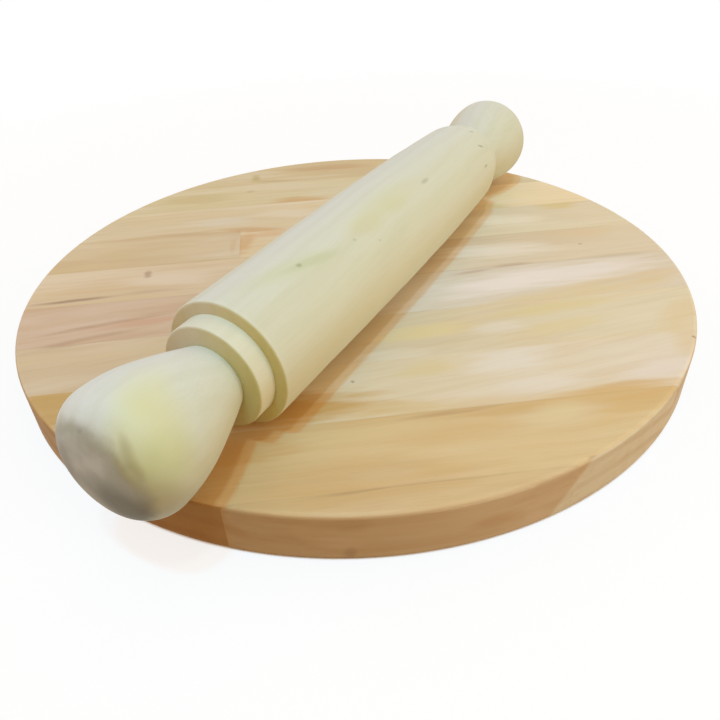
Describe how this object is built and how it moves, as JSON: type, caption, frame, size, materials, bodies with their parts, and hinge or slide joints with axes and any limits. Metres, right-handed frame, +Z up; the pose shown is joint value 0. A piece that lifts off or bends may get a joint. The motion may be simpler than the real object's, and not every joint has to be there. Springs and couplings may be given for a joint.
{
  "type": "chakla rolling board",
  "caption": "Round flat wooden rolling board of edge-glued staves for flatbread, with a one-piece turned rolling pin that lies across it and rolls over its face.",
  "frame": {"origin": "centre of the board's round underside", "axes": "+Z up, square to the board's face; +X along the staves; the pin lies 54.4 degrees from +X, turning towards +Y"},
  "size_m": [0.28, 0.2843, 0.0639],
  "materials": {
    "stave_tan": "sanded and unsealed, matt",
    "stave_pale": "sanded and unsealed, matt",
    "stave_pink": "sanded and unsealed, matt",
    "stave_brown": "sanded and unsealed, matt",
    "pin_wood": "turned and sanded, unsealed, matt"
  },
  "bodies": {
    "board": {"stave_01": "stave_brown", "stave_02": "stave_brown", "stave_03_left": "stave_brown", "stave_03_right": "stave_pale", "stave_04": "stave_pale", "stave_05_left": "stave_pink", "stave_05_right": "stave_pale", "stave_06": "stave_tan", "stave_07_left": "stave_tan", "stave_07_right": "stave_tan", "stave_08": "stave_tan", "stave_09": "stave_tan", "stave_10": "stave_tan"},
    "pin": {"rolling_pin": "pin_wood"}
  },
  "joints": [
    {"name": "pin_roll", "type": "slide", "parent": "board", "child": "pin", "axis": [-0.8131, 0.5821, 0], "range_m": [-0.101, 0.134]}
  ]
}
